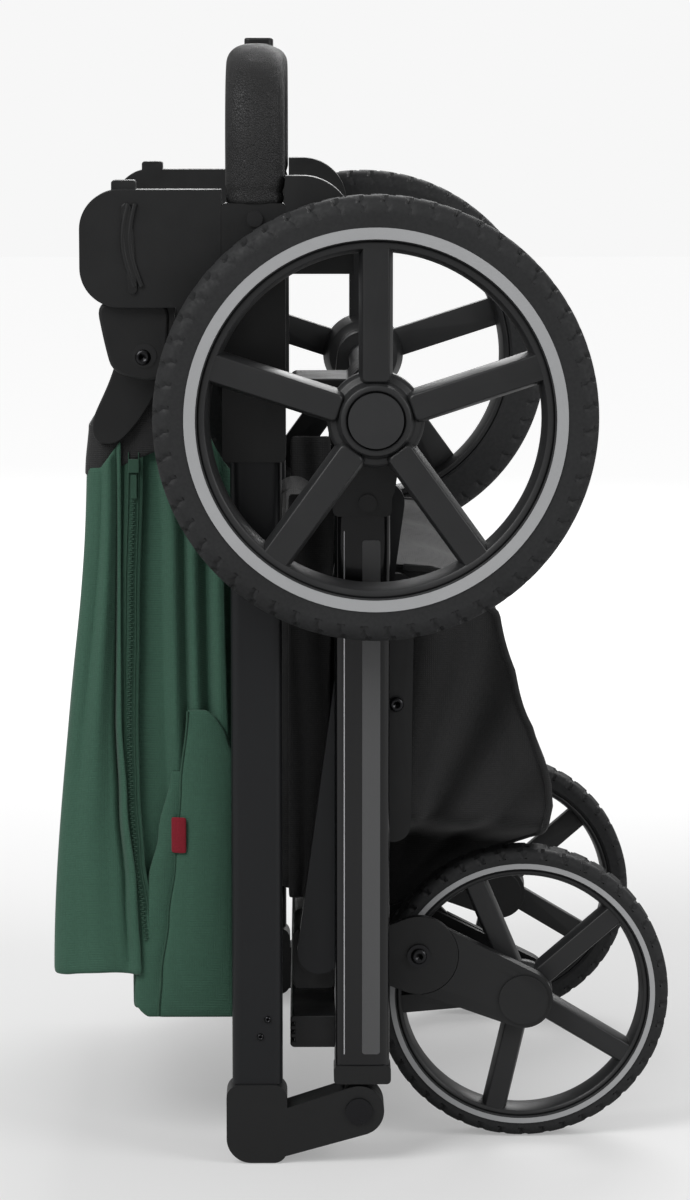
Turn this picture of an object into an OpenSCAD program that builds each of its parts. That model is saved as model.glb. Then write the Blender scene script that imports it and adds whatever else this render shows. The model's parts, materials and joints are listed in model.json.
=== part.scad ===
// Folded stroller standing on its fold hinges and its front wheels.
// +X points to the front wheels, +Z is up, Y runs across the width, left is -Y.

/* [Rear wheels] */
// Diameter of a rear wheel over its tyre
rear_d = 290; // [240:1:340]
// Distance between the middles of the rear wheels
rear_track = 564; // [556:1:640]
// Width of a rear tyre
rear_tyre_w = 42; // [32:1:42]
// Radial depth of a rear tyre
rear_tyre_h = 29; // [20:1:34]
// Radius of a rear axle
rear_axle_r = 6; // [4:0.5:8]
// Height of the rear axle above the ground
rear_axle_z = 508; // [490:1:560]

/* [Front wheels] */
// Diameter of a front wheel over its tyre
front_d = 202; // [180:1:206]
// Distance between the middles of the front wheels
front_track = 344; // [330:1:350]
// Width of a front tyre
front_tyre_w = 32; // [24:1:34]
// Radial depth of a front tyre
front_tyre_h = 14; // [10:1:18]
// Radius of a front axle
front_axle_r = 4; // [3:0.5:6]
// Number of spokes in each wheel
spokes = 5; // [3:1:7]

/* [Frame] */
// Width over the side tubes
frame_w = 500; // [490:1:510]
// Thickness of the side tubes across the width
tube_t = 22; // [18:1:24]
// Wall of the side tubes
tube_wall = 2; // [1.2:0.1:3]
// Depth of a handle tube from front to back
handle_tube_w = 34; // [28:1:36]
// Depth of a leg tube from front to back
leg_tube_w = 37; // [30:1:40]
// Height of the top of the handle tubes
handle_tube_top = 640; // [620:1:650]
// Radius of a main hinge pin
hinge_pin_r = 5; // [3:0.5:7]
// Thickness of the middle knuckle of a main hinge
knuckle_t = 13; // [8:0.5:15]

/* [Handle] */
// Height of the middle of the crossbar
bar_z = 735; // [715:1:780]
// Width of the padded grip from front to back
grip_w = 39; // [32:1:44]
// Thickness of the padded grip
grip_t = 30; // [22:1:32]
// Radius of the bends at the middle of the handle bar
bend_r = 50; // [35:1:60]

/* [Soft goods] */
// Thickness of the fabric shells
cloth_t = 3; // [2:0.5:5]
// Half of the width of the seat
seat_half = 200; // [180:1:202]
// Height of the top of the seat back
seat_top = 560; // [480:1:562]

/* [Fits] */
// Radial running clearance of pins and axles
run_gap = 0.05; // [0.02:0.01:0.1]
// Side gap between moving plates
side_gap = 0.5; // [0.3:0.1:1]
// Gap on each side of the handle bar in its tubes
bar_slip = 1; // [0.2:0.1:1.5]

/* [Hidden] */
$fn = 64;

// Colours
gloss_black = "#1c1d20";
satin_black = "#222325";
zinc = "#8a8c8f";
anthracite = "#34363a";
moulded_black = "#2b2c2f";
tyre_black = "#1f2021";
stripe_grey = "#a9abae";
cloth_black = "#161718";
castor_black = "#26272a";
panel_black = "#242527";
grip_black = "#2a2a2c";
rivet_grey = "#3a3b3d";
seat_black = "#1a1b1c";
hood_green = "#4f8a6d";

// Front face of the folded hood, the foremost plane on the -X side
hood_x0 = -173;

// Places across the width, as distances from the middle plane
out_y = frame_w / 2;
in_y = out_y - tube_t;
tube_y = (out_y + in_y) / 2;
cover_t = 2;
rear_y = rear_track / 2;
front_y = front_track / 2;

// Wheels
rear_axle_x = 44.6;
rear_r = rear_d / 2;
rear_bead_r = rear_r - rear_tyre_h;
rim_t = 6;
hub_r = 30;
hub_w = rear_tyre_w - 2;
cap_r = 18;
cap_t = 3;
front_r = front_d / 2;
front_axle_x = 148;
front_axle_z = front_r;
front_bead_r = front_r - front_tyre_h;
front_rim_t = 5;
front_hub_r = 20;

// Main hinge at the bottom of each side
hinge_x = 34.5;
hinge_z = 36;
hinge_r = 17;
leg_x = 36.5;
leg_z0 = 67;
leg_z1 = 440;
web_z = hinge_z + hinge_r + 1.5;
web_w = 18;
handle_x = -34;
arm_top = 54;
plug_h = 30;

// Lower rail, castor and fork
rail_pivot = [50, 446];
rail_end = [8, 140];
rail_r = 15;
rail_t = 14.5;
rail_out_y = in_y - side_gap;
rail_in_y = rail_out_y - rail_t;
swivel_z = 132;
stem_r = 8;
bracket_x0 = -10;
bracket_x1 = 18;
bracket_h = 42;
bracket_in_y = front_y - 22;
crown_x0 = bracket_x1 + 1;
crown_x1 = 40;
cheek_t = 7;
castor_half = front_tyre_w / 2 + 16;
boss = [76, swivel_z];
boss_r = 27;
boss_gap = 0.4;
fork_pin_r = 5;
arm_r = 20;
arm_inner_t = 6.2;
fork_cap_r = 17;

// Handle frame
sleeve_x0 = -56;
sleeve_x1 = -14;
sleeve_z0 = 476;
sleeve_z1 = handle_tube_top + 6;
sleeve_out_y = out_y + cover_t;
sleeve_in_y = in_y - cover_t;
hood_pivot = [-107, 546];
hood_pin_r = 5;
lug_in_y = in_y + 2;
lug_out_y = lug_in_y + 14;
seat_bar_r = 8;
seat_bar_x = -36;
seat_z0 = 165;
seat_bar_low_z = seat_z0 - seat_bar_r;
seat_bar_high_z = seat_top + seat_bar_r;
bar_core_w = handle_tube_w - 2 * tube_wall - 2 * bar_slip;
bar_core_t = tube_t - 2 * tube_wall - 2 * bar_slip;
bar_half = tube_y;
bar_socket = 20;
button_half = 30;
button_w = 20;
button_pocket = 7;

// Hood layers, from the inside out
hood_rear_half = seat_half + 5.5;
hood_rear_out = hood_rear_half + cloth_t;
arm_t = 3;
hood_front_half = hood_rear_out + arm_t + 1;
hood_front_out = hood_front_half + cloth_t;

// Rounded rectangle from two corners
module rr(x0, z0, x1, z1, r) {
    translate([x0 + r, z0])
        square([x1 - x0 - 2 * r, z1 - z0]);
    translate([x0, z0 + r])
        square([x1 - x0, z1 - z0 - 2 * r]);
    for (x = [x0 + r, x1 - r], z = [z0 + r, z1 - r])
        translate([x, z])
            circle(r);
}

// Plate of two round ends joined by straight edges
module link(p, r1, q, r2) {
    d = q - p;
    len = norm(d);
    a = atan2(d[1], d[0]);
    b = acos((r1 - r2) / len);
    translate(p)
        circle(r1);
    translate(q)
        circle(r2);
    polygon([
        p + r1 * [cos(a + b), sin(a + b)], p + r1 * [cos(a - b), sin(a - b)],
        q + r2 * [cos(a - b), sin(a - b)], q + r2 * [cos(a + b), sin(a + b)]]);
}

// Extrudes an outline in the XZ plane from y0 to y1
module slab(y0, y1) {
    translate([0, y1, 0])
        rotate([90, 0, 0])
            linear_extrude(y1 - y0)
                children();
}

// The right side is the left side mirrored
module side(right) {
    mirror([0, right ? 1 : 0, 0])
        children();
}

// Moves a piece so that the origin is under the middle of the whole stroller
module place(right = false) {
    translate([-(front_axle_x + front_r + hood_x0) / 2, 0, 0])
        side(right)
            children();
}

module both() {
    side(false)
        children();
    side(true)
        children();
}

// Round bar along Y
module bar_y(p, r, y0, y1) {
    translate([p[0], y1, p[1]])
        rotate([90, 0, 0])
            cylinder(r = r, h = y1 - y0);
}

// Outline of a side tube, grown or shrunk all round
module tube_outline(w, grow) {
    rr(-w / 2 - grow, -tube_t / 2 - grow, w / 2 + grow, tube_t / 2 + grow, 6 + grow);
}

module upright(x, w, z0, z1, grow) {
    translate([x, -tube_y, z0])
        linear_extrude(z1 - z0)
            tube_outline(w, grow);
}

module hollow_upright(x, w, z0, z1) {
    difference() {
        upright(x, w, z0, z1, 0);
        upright(x, w, z0 - 1, z1 + 1, -tube_wall);
    }
}

// ---- Wheels ----

module spoke_set(r0, r1, w, y0, y1, phase) {
    for (i = [0 : spokes - 1])
        rotate([0, -phase - i * 360 / spokes, 0])
            slab(y0, y1)
                rr(r0, -w / 2, r1, w / 2, 3);
}

module ring(r0, r1, w) {
    rotate([90, 0, 0])
        rotate_extrude()
            translate([r0, -w / 2])
                square([r1 - r0, w]);
}

module tyre(r0, r1, w, round) {
    rotate([90, 0, 0])
        rotate_extrude()
            union() {
                rr(r0, -w / 2, r1, w / 2, round);
                translate([r0, -w / 2])
                    square([(r1 - r0) / 2, w]);
            }
}

module at_rear() {
    translate([rear_axle_x, -rear_y, rear_axle_z])
        children();
}

module at_front() {
    translate([front_axle_x, -front_y, front_axle_z])
        children();
}

module rear_rim() {
    spoke_w = 22;
    at_rear()
        difference() {
            union() {
                ring(rear_bead_r - rim_t, rear_bead_r, rear_tyre_w - 8);
                bar_y([0, 0], hub_r, -hub_w / 2, hub_w / 2);
                spoke_set(hub_r - 5, rear_bead_r - rim_t / 2, spoke_w, -16, -3, 18);
            }
            bar_y([0, 0], rear_axle_r + run_gap, -hub_w, hub_w);
            bar_y([0, 0], cap_r, -hub_w / 2 - 1, -hub_w / 2 + cap_t);
        }
}

module rear_tyre() {
    at_rear()
        tyre(rear_bead_r, rear_r, rear_tyre_w, 11);
}

module rear_stripe() {
    at_rear()
        translate([0, -rear_tyre_w / 2 - 0.3, 0])
            ring(rear_bead_r + 1, rear_bead_r + 8.5, 0.6);
}

module rear_cap() {
    at_rear()
        bar_y([0, 0], cap_r, -hub_w / 2 - 1.5, -hub_w / 2 + cap_t);
}

module front_rim() {
    hub = front_tyre_w - 2;
    spoke_w = 16.5;
    at_front()
        difference() {
            union() {
                ring(front_bead_r - front_rim_t, front_bead_r, front_tyre_w - 6);
                bar_y([0, 0], front_hub_r, -hub / 2, hub / 2);
                spoke_set(front_hub_r - 4, front_bead_r - 2, spoke_w, -11, 0, 41);
            }
            bar_y([0, 0], front_axle_r + run_gap, -hub, hub);
        }
}

module front_tyre() {
    at_front()
        tyre(front_bead_r, front_r, front_tyre_w, 6);
}

module front_stripe() {
    at_front()
        translate([0, -front_tyre_w / 2 - 0.3, 0])
            ring(front_bead_r + 1, front_bead_r + 4.5, 0.6);
}

// ---- Leg frame ----

module leg_tube() {
    hollow_upright(leg_x, leg_tube_w, leg_z0, leg_z1);
}

module hinge_base() {
    difference() {
        union() {
            slab(-out_y - cover_t, -in_y)
                rr(hinge_x - hinge_r, web_z, leg_x + leg_tube_w / 2 + 1, leg_z0, 3);
            slab(-tube_y - knuckle_t / 2, -tube_y + knuckle_t / 2) {
                translate([hinge_x, hinge_z])
                    circle(hinge_r);
                translate([hinge_x - web_w / 2, hinge_z])
                    square([web_w, web_z - hinge_z + 4]);
            }
            upright(leg_x, leg_tube_w, leg_z0 - 3, leg_z0 + plug_h, -tube_wall);
        }
        bar_y([hinge_x, hinge_z], hinge_pin_r, -out_y - 9, -in_y + 9);
    }
}

// Pins of the main hinges, each with its head
module frame_pins_shape() {
    both() {
        bar_y([hinge_x, hinge_z], hinge_pin_r, -out_y - cover_t, -in_y + cover_t);
        bar_y([hinge_x, hinge_z], hinge_pin_r + 4, -out_y - cover_t - 2, -out_y - cover_t);
    }
}

module axle_housing() {
    difference() {
        union() {
            slab(-out_y - cover_t, -in_y) {
                link([leg_x + 2, 462], 20, [rear_axle_x, rear_axle_z], 21);
                rr(leg_x - leg_tube_w / 2 - 1, leg_z1, leg_x + leg_tube_w / 2 + 1, 474, 4);
            }
            bar_y([rear_axle_x, rear_axle_z], 17, -rear_y + hub_w / 2 + side_gap, -out_y);
            upright(leg_x, leg_tube_w, leg_z1 - plug_h, leg_z1 + 3, -tube_wall);
        }
        bar_y([rear_axle_x, rear_axle_z], rear_axle_r, -rear_y, -in_y + 1);
        bar_y(rail_pivot, hinge_pin_r, -out_y + 6, -in_y + 1);
    }
}

module rear_axle_shape() {
    bar_y([rear_axle_x, rear_axle_z], rear_axle_r, -rear_y - hub_w / 2 + cap_t,
          rear_y + hub_w / 2 - cap_t);
}

module axle_tube_shape() {
    difference() {
        bar_y([rear_axle_x, rear_axle_z], 12, -in_y, in_y);
        bar_y([rear_axle_x, rear_axle_z], rear_axle_r, -in_y - 1, in_y + 1);
    }
}

// Ribbed foot plate between the legs
module footboard_shape() {
    rib_pitch = 5.5;
    slab(-in_y, in_y)
        difference() {
            rr(-12, 74, leg_x - leg_tube_w / 2 + 6, 96, 3);
            for (i = [0 : 2])
                translate([-13, 78 + i * rib_pitch])
                    square([4, 2.5]);
        }
}

module leg_trim_shape() {
    both()
        slab(-out_y - 0.8, -out_y)
            rr(leg_x, leg_z0 + 8, leg_x + 12, leg_z1 - 16, 2);
}

module frame_rivets_shape() {
    both() {
        bar_y([leg_x + 3.5, 449], 6, -out_y - cover_t - 2, -out_y - cover_t);
        bar_y(rail_pivot, hinge_pin_r, -out_y + 6, -rail_in_y + 1);
        bar_y(rail_pivot, hinge_pin_r + 4, -rail_in_y + side_gap, -rail_in_y + 3);
    }
}

// Foot pedal that turns on the axle tube
module brake_pedal_shape() {
    collar_r = 16;
    half = 40;
    difference() {
        slab(-half, half) {
            translate([rear_axle_x, rear_axle_z])
                circle(collar_r);
            rr(-12, rear_axle_z - 6, rear_axle_x, rear_axle_z + 6, 5);
        }
        bar_y([rear_axle_x, rear_axle_z], 12 + run_gap, -half - 1, half + 1);
    }
}

// ---- Lower rail ----

module rail() {
    difference() {
        slab(-rail_out_y, -rail_in_y)
            link(rail_pivot, rail_r, rail_end, rail_r);
        bar_y(rail_pivot, hinge_pin_r + run_gap, -rail_out_y - 1, -rail_in_y + 1);
    }
}

module rail_cross_tube_shape() {
    mid = rail_pivot + (rail_end - rail_pivot) * 0.48;
    difference() {
        bar_y(mid, 9, -rail_in_y, rail_in_y);
        bar_y(mid, 7, -rail_in_y - 1, rail_in_y + 1);
    }
}

module castor_bracket() {
    difference() {
        slab(-rail_in_y, -bracket_in_y)
            rr(bracket_x0, swivel_z - bracket_h / 2, bracket_x1, swivel_z + bracket_h / 2, 5);
        translate([bracket_x0 - 1, -front_y, swivel_z])
            rotate([0, 90, 0])
                cylinder(r = stem_r + run_gap, h = bracket_x1 - bracket_x0 + 2);
    }
}

// Side view of the basket: the full-width part and the narrow part under it
basket_x = 57;
basket_half = 205;
basket_low_half = 118;
basket_full = [[basket_x, 212], [162, 212], [167, 232], [164, 262], [147, 300], [137, 335],
               [128, 368], [105, 395], [basket_x, 402]];
basket_full_in = [[basket_x - 5, 212 + cloth_t], [162 - cloth_t, 212 + cloth_t],
                  [167 - cloth_t, 232], [164 - cloth_t, 262], [147 - cloth_t, 300],
                  [137 - cloth_t, 335], [128 - cloth_t, 367], [104 - cloth_t, 392],
                  [basket_x - 5, 402 - cloth_t]];
basket_low = [[basket_x, 143], [100, 166], [152, 199], [162, 212 + cloth_t],
              [basket_x, 212 + cloth_t]];
basket_low_in = [[basket_x - 5, 143 + cloth_t], [basket_x, 143 + cloth_t],
                 [100 - cloth_t, 167 + cloth_t], [150 - cloth_t, 200 + cloth_t],
                 [160 - cloth_t, 213 + cloth_t], [basket_x - 5, 213 + cloth_t]];

module basket_shape() {
    difference() {
        union() {
            slab(-basket_half, basket_half)
                polygon(basket_full);
            slab(-basket_low_half, basket_low_half)
                polygon(basket_low);
        }
        slab(-basket_half + cloth_t, basket_half - cloth_t)
            polygon(basket_full_in);
        slab(-basket_low_half + cloth_t, basket_low_half - cloth_t)
            polygon(basket_low_in);
    }
}

// Strips that hang the basket on the rails, each with its rivet
module basket_strips_shape() {
    both() {
        slab(-rail_in_y, -basket_half)
            link([60, 385], 12, [58, 225], 12);
        bar_y([60, 308], 5, -rail_in_y - 2, -rail_in_y);
    }
}

// ---- Castors and forks ----

module castor() {
    cheek_out = front_y + castor_half;
    cheek_in = front_y - castor_half;
    difference() {
        union() {
            slab(-cheek_out, -cheek_in)
                rr(crown_x0, swivel_z - 18, crown_x1, swivel_z + 18, 4);
            for (y0 = [-cheek_out, -cheek_in - cheek_t])
                slab(y0, y0 + cheek_t)
                    link([(crown_x0 + crown_x1) / 2, swivel_z], 10, boss, boss_r);
            translate([bracket_x0, -front_y, swivel_z])
                rotate([0, 90, 0])
                    cylinder(r = stem_r, h = crown_x0 + 1 - bracket_x0);
        }
        bar_y(boss, fork_pin_r + run_gap, -cheek_out - 1, -cheek_in + 1);
    }
}

module fork_arm() {
    cheek_out = front_y + castor_half;
    layer = cheek_out - cheek_t - 0.3;
    axle = [front_axle_x, front_axle_z];
    difference() {
        union() {
            slab(-layer, -layer + arm_inner_t)
                link(boss, boss_r - 3, axle, arm_r);
            slab(-cheek_out, -layer)
                difference() {
                    link(boss, boss_r - 2, axle, arm_r);
                    translate(boss)
                        circle(boss_r + boss_gap);
                }
            bar_y(axle, fork_cap_r, -cheek_out - 1.5, -cheek_out);
        }
        bar_y(boss, fork_pin_r, -cheek_out - 1, -layer + arm_inner_t + 1);
        bar_y(axle, front_axle_r, -cheek_out + 1, -layer + arm_inner_t + 1);
    }
}

// Two arms, one each side of the wheel
module fork() {
    fork_arm();
    translate([0, -2 * front_y, 0])
        mirror([0, 1, 0])
            fork_arm();
}

// Wheel axle and the two fork pivot pins
module front_axle() {
    reach = castor_half - 1;
    bar_y([front_axle_x, front_axle_z], front_axle_r, -front_y - reach, -front_y + reach);
    for (s = [-1, 1])
        translate([0, -front_y + s * (castor_half - 6.5), 0]) {
            bar_y(boss, fork_pin_r, -6.9, 6.9);
            bar_y(boss, fork_pin_r + 3, s < 0 ? -8.9 : 6.9, s < 0 ? -6.9 : 8.9);
        }
}

// ---- Handle frame ----

module handle_tube() {
    hollow_upright(handle_x, handle_tube_w, arm_top, handle_tube_top);
}

// Foot of the handle tube with the two hinge cheeks
module hinge_arm() {
    difference() {
        union() {
            slab(-out_y - cover_t, -in_y + cover_t) {
                rr(handle_x - handle_tube_w / 2 - 4, 0, handle_x + handle_tube_w / 2 + 3, arm_top, 9);
                link([handle_x + 2, 16], 15.5, [hinge_x, hinge_z], hinge_r);
            }
            upright(handle_x, handle_tube_w, arm_top - 3, arm_top + plug_h, -tube_wall);
        }
        slab(-tube_y - knuckle_t / 2 - side_gap, -tube_y + knuckle_t / 2 + side_gap)
            translate([hinge_x, hinge_z])
                circle(hinge_r + 1);
        bar_y([hinge_x, hinge_z], hinge_pin_r + run_gap, -out_y - 9, -in_y + 9);
    }
}

module sleeve() {
    difference() {
        slab(-sleeve_out_y, -sleeve_in_y)
            rr(sleeve_x0, sleeve_z0, sleeve_x1, sleeve_z1, 3);
        upright(handle_x, handle_tube_w, sleeve_z0 - 1, handle_tube_top, 0);
        translate([handle_x, -tube_y, handle_tube_top - 1])
            linear_extrude(sleeve_z1 - handle_tube_top + 2)
                bar_section(bar_core_w, bar_core_t);
    }
}

// Side plate with its hood lug and the rounded cover behind the sleeve
module armrest() {
    difference() {
        union() {
            slab(-sleeve_out_y, -lug_in_y) {
                rr(-149, 578, sleeve_x0, 655, 26);
                translate([sleeve_x0 - 30, 578])
                    square([30, 77]);
            }
            slab(-lug_out_y, -lug_in_y)
                link([hood_pivot[0], 590], 22, hood_pivot, 16);
            slab(-sleeve_out_y - 1.5, -sleeve_out_y)
                link([-118, 643], 3, [-114, 590], 3);
            slab(-sleeve_out_y + 4, -lug_in_y)
                rr(-128, 650, -112, 661, 2);
        }
        bar_y(hood_pivot, hood_pin_r, -lug_out_y - 1, -lug_in_y + 1);
    }
    slab(-sleeve_out_y, -lug_in_y)
        intersection() {
            union() {
                rr(sleeve_x1 - 40, 560, 31, 664, 34);
                translate([sleeve_x1, 600])
                    square([30, 30]);
            }
            translate([sleeve_x1, 600])
                square([50, 70]);
        }
}

// Cross section of the handle bar: w from front to back, t across it
module bar_section(w, t) {
    r = min(w, t) / 2 - 0.5;
    rr(-w / 2, -t / 2, w / 2, t / 2, r);
}

// U-shaped bar: a leg from z0, a bend and half of the crossbar, mirrored
module handle_path(w, t, z0) {
    both() {
        translate([handle_x, -bar_half, z0])
            linear_extrude(bar_z - bend_r - z0)
                bar_section(w, t);
        translate([handle_x, -bar_half + bend_r, bar_z - bend_r])
            rotate([0, 90, 0])
                rotate([0, 0, 180])
                    rotate_extrude(angle = 90)
                        translate([bend_r, 0])
                            rotate(90)
                                bar_section(w, t);
    }
    translate([handle_x, bar_half - bend_r, bar_z])
        rotate([90, 0, 0])
            linear_extrude(2 * (bar_half - bend_r))
                bar_section(w, t);
}

module handle_bar_shape() {
    handle_path(bar_core_w, bar_core_t, handle_tube_top - bar_socket);
}

module grip_cover_shape() {
    difference() {
        handle_path(grip_w, grip_t, sleeve_z1);
        handle_path(bar_core_w, bar_core_t, sleeve_z1 - 1);
        translate([handle_x - button_w / 2 - side_gap, -button_half - side_gap,
                   bar_z + grip_t / 2 - button_pocket])
            cube([button_w + 2 * side_gap, 2 * (button_half + side_gap), button_pocket + 1]);
    }
}

module fold_button_shape() {
    travel = 3.5;
    z0 = bar_z + grip_t / 2 - button_pocket + travel;
    translate([handle_x, 0, z0])
        linear_extrude(8)
            rr(-button_w / 2, -button_half, button_w / 2, button_half, 4);
}

// Rivets of the handle bar and the pins that carry the hood
module handle_rivets_shape() {
    both() {
        bar_y([handle_x, 636], 5.3, -sleeve_out_y - 2, -sleeve_out_y);
        bar_y(hood_pivot, hood_pin_r, -lug_out_y, -hood_rear_half - 1);
        bar_y(hood_pivot, hood_pin_r + 3, -lug_out_y - 2, -lug_out_y);
    }
}

module seat_bars_shape() {
    bar_y([seat_bar_x, seat_bar_low_z], seat_bar_r, -in_y, in_y);
    bar_y([seat_bar_x, seat_bar_high_z], seat_bar_r, -sleeve_in_y, sleeve_in_y);
}

module seat_back_shape() {
    slab(-seat_half, seat_half)
        rr(-45, seat_z0, -28, seat_top, 5);
}

module seat_base_shape() {
    slab(-seat_half, seat_half)
        rr(-27.7, seat_z0, 8, 430, 8);
}

// ---- Hood ----

// Folded hood layer: two side walls and the front wall that joins them
module hood_layer(outline, half, lip0, lip1) {
    for (y = [-half - cloth_t, half])
        slab(y, y + cloth_t)
            polygon(outline);
    slab(-half - cloth_t, half + cloth_t)
        polygon([lip0, lip0 + [cloth_t, 0], lip1 + [cloth_t, 0], lip1]);
}

module hood_rear_fabric_shape() {
    hood_layer([[-120, 490], [-95, 478], [-60, 420], [-52, 97], [-117, 95]],
               hood_rear_half, [-120, 490], [-117, 95]);
}

module hood_rear_arms_shape() {
    both()
        difference() {
            slab(-hood_rear_out - arm_t, -hood_rear_out)
                link(hood_pivot, 14, [-88, 450], 10);
            bar_y(hood_pivot, hood_pin_r + run_gap, -hood_front_out, -hood_rear_half);
        }
}

module hood_front_fabric_shape() {
    hood_layer([[-147, 488], [-124, 488], [-121.5, 122], [hood_x0, 122]],
               hood_front_half, [-147, 488], [hood_x0, 122]);
}

module hood_front_arms_shape() {
    both()
        difference() {
            slab(-hood_front_out - arm_t, -hood_front_out)
                link(hood_pivot, 16, [-136, 455], 11);
            bar_y(hood_pivot, hood_pin_r + run_gap, -lug_in_y, -hood_front_half);
        }
}

// ---- Nodes ----

module leg_tube_left() {
    color(gloss_black)
        place()
            leg_tube();
}

module leg_tube_right() {
    color(gloss_black)
        place(true)
            leg_tube();
}

module hinge_base_left() {
    color(satin_black)
        place()
            hinge_base();
}

module hinge_base_right() {
    color(satin_black)
        place(true)
            hinge_base();
}

module frame_pins() {
    color(zinc)
        place()
            frame_pins_shape();
}

module axle_housing_left() {
    color(satin_black)
        place()
            axle_housing();
}

module axle_housing_right() {
    color(satin_black)
        place(true)
            axle_housing();
}

module rear_axle() {
    color(zinc)
        place()
            rear_axle_shape();
}

module axle_tube() {
    color(gloss_black)
        place()
            axle_tube_shape();
}

module footboard() {
    color(satin_black)
        place()
            footboard_shape();
}

module leg_trim() {
    color(anthracite)
        place()
            leg_trim_shape();
}

module frame_rivets() {
    color(moulded_black)
        place()
            frame_rivets_shape();
}

module rear_rim_left() {
    color(moulded_black)
        place()
            rear_rim();
}

module rear_rim_right() {
    color(moulded_black)
        place(true)
            rear_rim();
}

module rear_tyre_left() {
    color(tyre_black)
        place()
            rear_tyre();
}

module rear_tyre_right() {
    color(tyre_black)
        place(true)
            rear_tyre();
}

module rear_stripe_left() {
    color(stripe_grey)
        place()
            rear_stripe();
}

module rear_stripe_right() {
    color(stripe_grey)
        place(true)
            rear_stripe();
}

module rear_cap_left() {
    color(moulded_black)
        place()
            rear_cap();
}

module rear_cap_right() {
    color(moulded_black)
        place(true)
            rear_cap();
}

module brake_pedal() {
    color(moulded_black)
        place()
            brake_pedal_shape();
}

module rail_left() {
    color(gloss_black)
        place()
            rail();
}

module rail_right() {
    color(gloss_black)
        place(true)
            rail();
}

module rail_cross_tube() {
    color(gloss_black)
        place()
            rail_cross_tube_shape();
}

module castor_bracket_left() {
    color(satin_black)
        place()
            castor_bracket();
}

module castor_bracket_right() {
    color(satin_black)
        place(true)
            castor_bracket();
}

module basket() {
    color(cloth_black)
        place()
            basket_shape();
}

module basket_strips() {
    color(castor_black)
        place()
            basket_strips_shape();
}

module castor_left() {
    color(castor_black)
        place()
            castor();
}

module castor_right() {
    color(castor_black)
        place(true)
            castor();
}

module fork_left() {
    color(castor_black)
        place()
            fork();
}

module fork_right() {
    color(castor_black)
        place(true)
            fork();
}

module front_axle_left() {
    color(zinc)
        place()
            front_axle();
}

module front_axle_right() {
    color(zinc)
        place(true)
            front_axle();
}

module front_rim_left() {
    color(moulded_black)
        place()
            front_rim();
}

module front_rim_right() {
    color(moulded_black)
        place(true)
            front_rim();
}

module front_tyre_left() {
    color(tyre_black)
        place()
            front_tyre();
}

module front_tyre_right() {
    color(tyre_black)
        place(true)
            front_tyre();
}

module front_stripe_left() {
    color(stripe_grey)
        place()
            front_stripe();
}

module front_stripe_right() {
    color(stripe_grey)
        place(true)
            front_stripe();
}

module handle_tube_left() {
    color(satin_black)
        place()
            handle_tube();
}

module handle_tube_right() {
    color(satin_black)
        place(true)
            handle_tube();
}

module hinge_arm_left() {
    color(satin_black)
        place()
            hinge_arm();
}

module hinge_arm_right() {
    color(satin_black)
        place(true)
            hinge_arm();
}

module sleeve_left() {
    color(satin_black)
        place()
            sleeve();
}

module sleeve_right() {
    color(satin_black)
        place(true)
            sleeve();
}

module armrest_left() {
    color(panel_black)
        place()
            armrest();
}

module armrest_right() {
    color(panel_black)
        place(true)
            armrest();
}

module handle_bar() {
    color(satin_black)
        place()
            handle_bar_shape();
}

module grip_cover() {
    color(grip_black)
        place()
            grip_cover_shape();
}

module handle_rivets() {
    color(rivet_grey)
        place()
            handle_rivets_shape();
}

module seat_bars() {
    color(gloss_black)
        place()
            seat_bars_shape();
}

module seat_back() {
    color(seat_black)
        place()
            seat_back_shape();
}

module seat_base() {
    color(seat_black)
        place()
            seat_base_shape();
}

module fold_button() {
    color(moulded_black)
        place()
            fold_button_shape();
}

module hood_rear_fabric() {
    color(hood_green)
        place()
            hood_rear_fabric_shape();
}

module hood_rear_arms() {
    color(satin_black)
        place()
            hood_rear_arms_shape();
}

module hood_front_fabric() {
    color(hood_green)
        place()
            hood_front_fabric_shape();
}

module hood_front_arms() {
    color(satin_black)
        place()
            hood_front_arms_shape();
}

leg_tube_left();
leg_tube_right();
hinge_base_left();
hinge_base_right();
frame_pins();
axle_housing_left();
axle_housing_right();
rear_axle();
axle_tube();
footboard();
leg_trim();
frame_rivets();
rear_rim_left();
rear_rim_right();
rear_tyre_left();
rear_tyre_right();
rear_stripe_left();
rear_stripe_right();
rear_cap_left();
rear_cap_right();
brake_pedal();
rail_left();
rail_right();
rail_cross_tube();
castor_bracket_left();
castor_bracket_right();
basket();
basket_strips();
castor_left();
castor_right();
fork_left();
fork_right();
front_axle_left();
front_axle_right();
front_rim_left();
front_rim_right();
front_tyre_left();
front_tyre_right();
front_stripe_left();
front_stripe_right();
handle_tube_left();
handle_tube_right();
hinge_arm_left();
hinge_arm_right();
sleeve_left();
sleeve_right();
armrest_left();
armrest_right();
handle_bar();
grip_cover();
handle_rivets();
seat_bars();
seat_back();
seat_base();
fold_button();
hood_rear_fabric();
hood_rear_arms();
hood_front_fabric();
hood_front_arms();
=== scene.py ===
"""Looks of the folded stroller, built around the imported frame.

Lengths are in metres. Points of the CAD drawing are in millimetres and pass through at().
"""
import json
import math
import bmesh
import bpy
from mathutils import Matrix, Vector


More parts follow.
